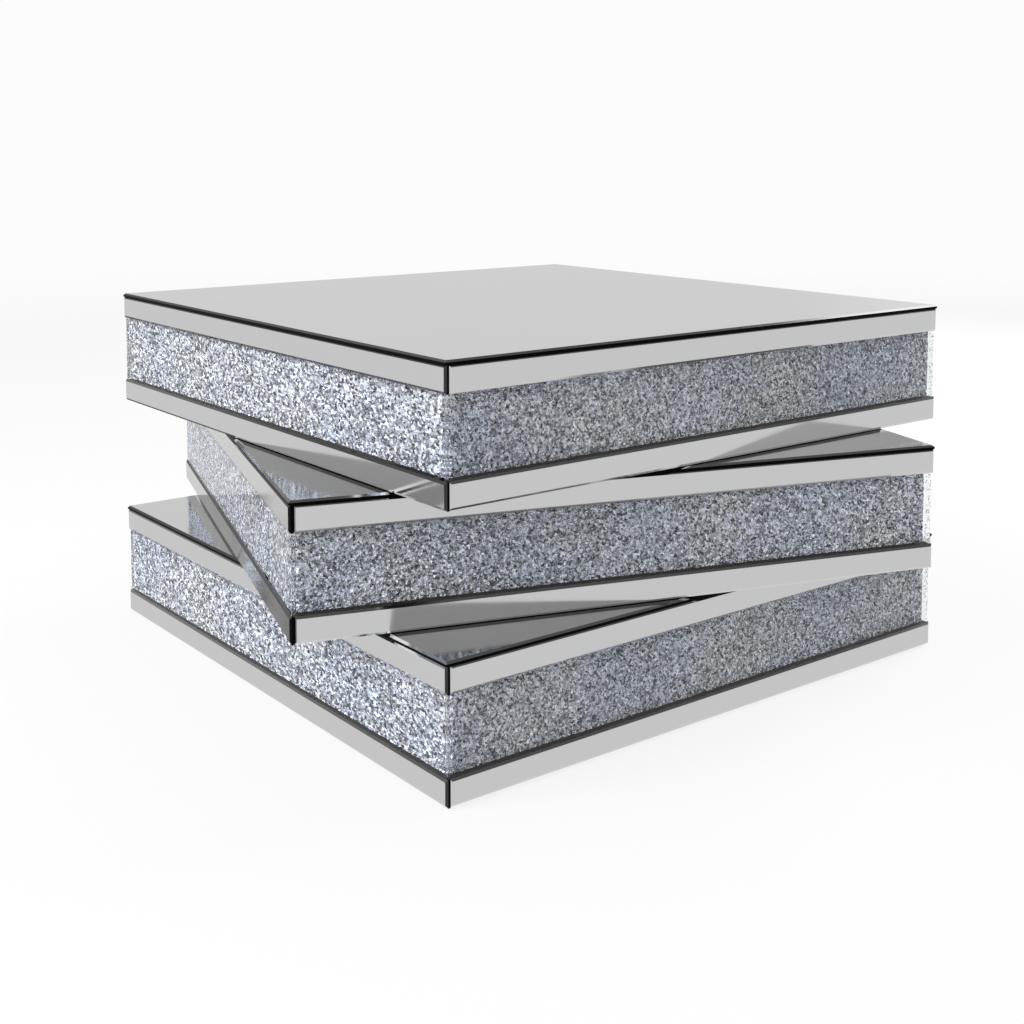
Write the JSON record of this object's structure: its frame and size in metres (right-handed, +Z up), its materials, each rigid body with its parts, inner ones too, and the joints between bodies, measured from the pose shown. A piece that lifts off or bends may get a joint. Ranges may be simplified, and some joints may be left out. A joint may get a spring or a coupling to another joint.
{
  "type": "three-tier swivel coffee table",
  "caption": "Square coffee table of stacked box tiers with mirrored bevelled bands, crushed-crystal infill behind clear glass and mirror tops; the upper tiers turn on hidden ball bearings.",
  "frame": {"origin": "centre of the footprint on the floor, under the feet", "axes": "+Z up, front side facing -Y, +X to the right seen from the front; base and top tiers square to X and Y, middle tier turned 17.5 degrees clockwise seen from above"},
  "size_m": [0.9408, 0.9408, 0.4366],
  "materials": {
    "mirror_top": "polished silvered glass, bevelled edge",
    "mirror_strip": "polished silvered glass, bevelled edge",
    "clear_glass": "clear polished",
    "crystal": "crushed silver-backed crystal, glittering",
    "black_board": "black painted fibreboard",
    "core_board": "raw fibreboard",
    "bearing_ring": "turned",
    "bearing_ball": "polished steel",
    "screw_steel": "zinc plated",
    "foot_rubber": "matt"
  },
  "bodies": {
    "base_tier": {"base_mirror_top": "mirror_top", "base_top_board": "black_board", "base_bottom_board": "black_board", "base_core_frame": "core_board", "base_crystal_panels": "crystal", "base_upper_strip_front": "mirror_strip", "base_upper_strip_right": "mirror_strip", "base_upper_strip_back": "mirror_strip", "base_upper_strip_left": "mirror_strip", "base_lower_strip_front": "mirror_strip", "base_lower_strip_right": "mirror_strip", "base_lower_strip_back": "mirror_strip", "base_lower_strip_left": "mirror_strip", "base_glass_pane_front": "clear_glass", "base_glass_pane_right": "clear_glass", "base_glass_pane_back": "clear_glass", "base_glass_pane_left": "clear_glass", "lower_bearing_outer_ring": "bearing_ring", "base_bearing_screws": "screw_steel", "feet": "foot_rubber"},
    "middle_tier": {"middle_mirror_top": "mirror_top", "middle_top_board": "black_board", "middle_bottom_board": "black_board", "middle_core_frame": "core_board", "middle_crystal_panels": "crystal", "middle_upper_strip_front": "mirror_strip", "middle_upper_strip_right": "mirror_strip", "middle_upper_strip_back": "mirror_strip", "middle_upper_strip_left": "mirror_strip", "middle_lower_strip_front": "mirror_strip", "middle_lower_strip_right": "mirror_strip", "middle_lower_strip_back": "mirror_strip", "middle_lower_strip_left": "mirror_strip", "middle_glass_pane_front": "clear_glass", "middle_glass_pane_right": "clear_glass", "middle_glass_pane_back": "clear_glass", "middle_glass_pane_left": "clear_glass", "lower_bearing_inner_ring": "bearing_ring", "upper_bearing_outer_ring": "bearing_ring", "bearing_balls": "bearing_ball", "middle_bearing_screws": "screw_steel"},
    "top_tier": {"top_mirror_top": "mirror_top", "top_top_board": "black_board", "top_bottom_board": "black_board", "top_core_frame": "core_board", "top_crystal_panels": "crystal", "top_upper_strip_front": "mirror_strip", "top_upper_strip_right": "mirror_strip", "top_upper_strip_back": "mirror_strip", "top_upper_strip_left": "mirror_strip", "top_lower_strip_front": "mirror_strip", "top_lower_strip_right": "mirror_strip", "top_lower_strip_back": "mirror_strip", "top_lower_strip_left": "mirror_strip", "top_glass_pane_front": "clear_glass", "top_glass_pane_right": "clear_glass", "top_glass_pane_back": "clear_glass", "top_glass_pane_left": "clear_glass", "upper_bearing_inner_ring": "bearing_ring", "top_bearing_screws": "screw_steel"}
  },
  "joints": [
    {"name": "middle_swivel", "type": "hinge", "parent": "base_tier", "child": "middle_tier", "pos_m": [0, 0, 0.1478], "axis": [0, 0, 1], "continuous": true},
    {"name": "top_swivel", "type": "hinge", "parent": "middle_tier", "child": "top_tier", "pos_m": [0, 0, 0.2926], "axis": [0, 0, 1], "continuous": true}
  ]
}
